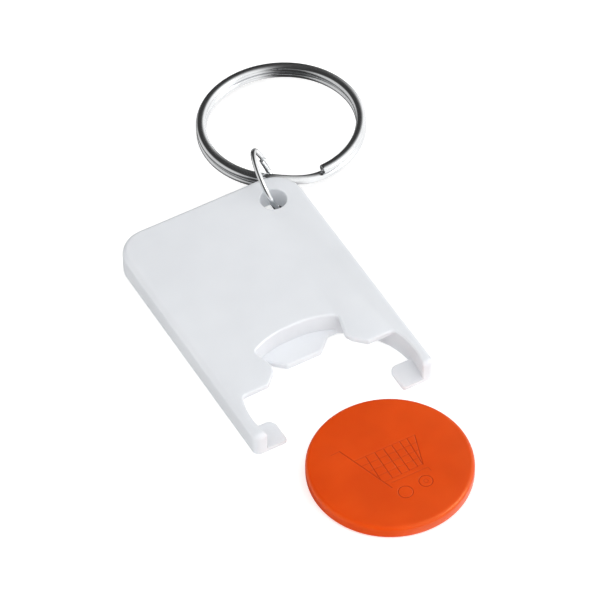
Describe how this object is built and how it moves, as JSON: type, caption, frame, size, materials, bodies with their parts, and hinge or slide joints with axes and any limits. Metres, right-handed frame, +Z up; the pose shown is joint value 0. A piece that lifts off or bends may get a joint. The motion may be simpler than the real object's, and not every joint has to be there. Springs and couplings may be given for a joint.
{
  "type": "trolley coin keyring",
  "caption": "White moulded coin holder with an orange trolley token, on a wire jump ring and a split key ring.",
  "frame": {"origin": "middle of the whole part in plan, on the surface that it lies on", "axes": "+Z up, +Y from the token towards the keyring hole, +X to the side of the holder that has the hole"},
  "size_m": [0.0458, 0.0888, 0.0096],
  "materials": {
    "white_plastic": "satin moulded, faintly cool white",
    "orange_plastic": "satin moulded, red orange",
    "plated_wire": "bright nickel plate",
    "plated_spring_wire": "bright nickel plate"
  },
  "bodies": {
    "coin_holder": {"coin_holder": "white_plastic"},
    "token": {"token": "orange_plastic"},
    "jump_ring": {"jump_ring": "plated_wire"},
    "split_ring": {"split_ring": "plated_spring_wire"}
  },
  "joints": [
    {"name": "token_slide", "type": "slide", "parent": "coin_holder", "child": "token", "axis": [0, 0.9992, 0.0403], "range_m": [0, 0.01567]},
    {"name": "jump_ring_swing", "type": "hinge", "parent": "coin_holder", "child": "jump_ring", "pos_m": [0.00091, 0.01693, 0.0035], "axis": [0, 0, 1], "range_deg": [-50, 40]},
    {"name": "split_ring_lift", "type": "hinge", "parent": "jump_ring", "child": "split_ring", "pos_m": [0.00319, 0.02291, 0.00289], "axis": [0.7771, -0.6293, 0], "range_deg": [-1.8, 100]}
  ]
}
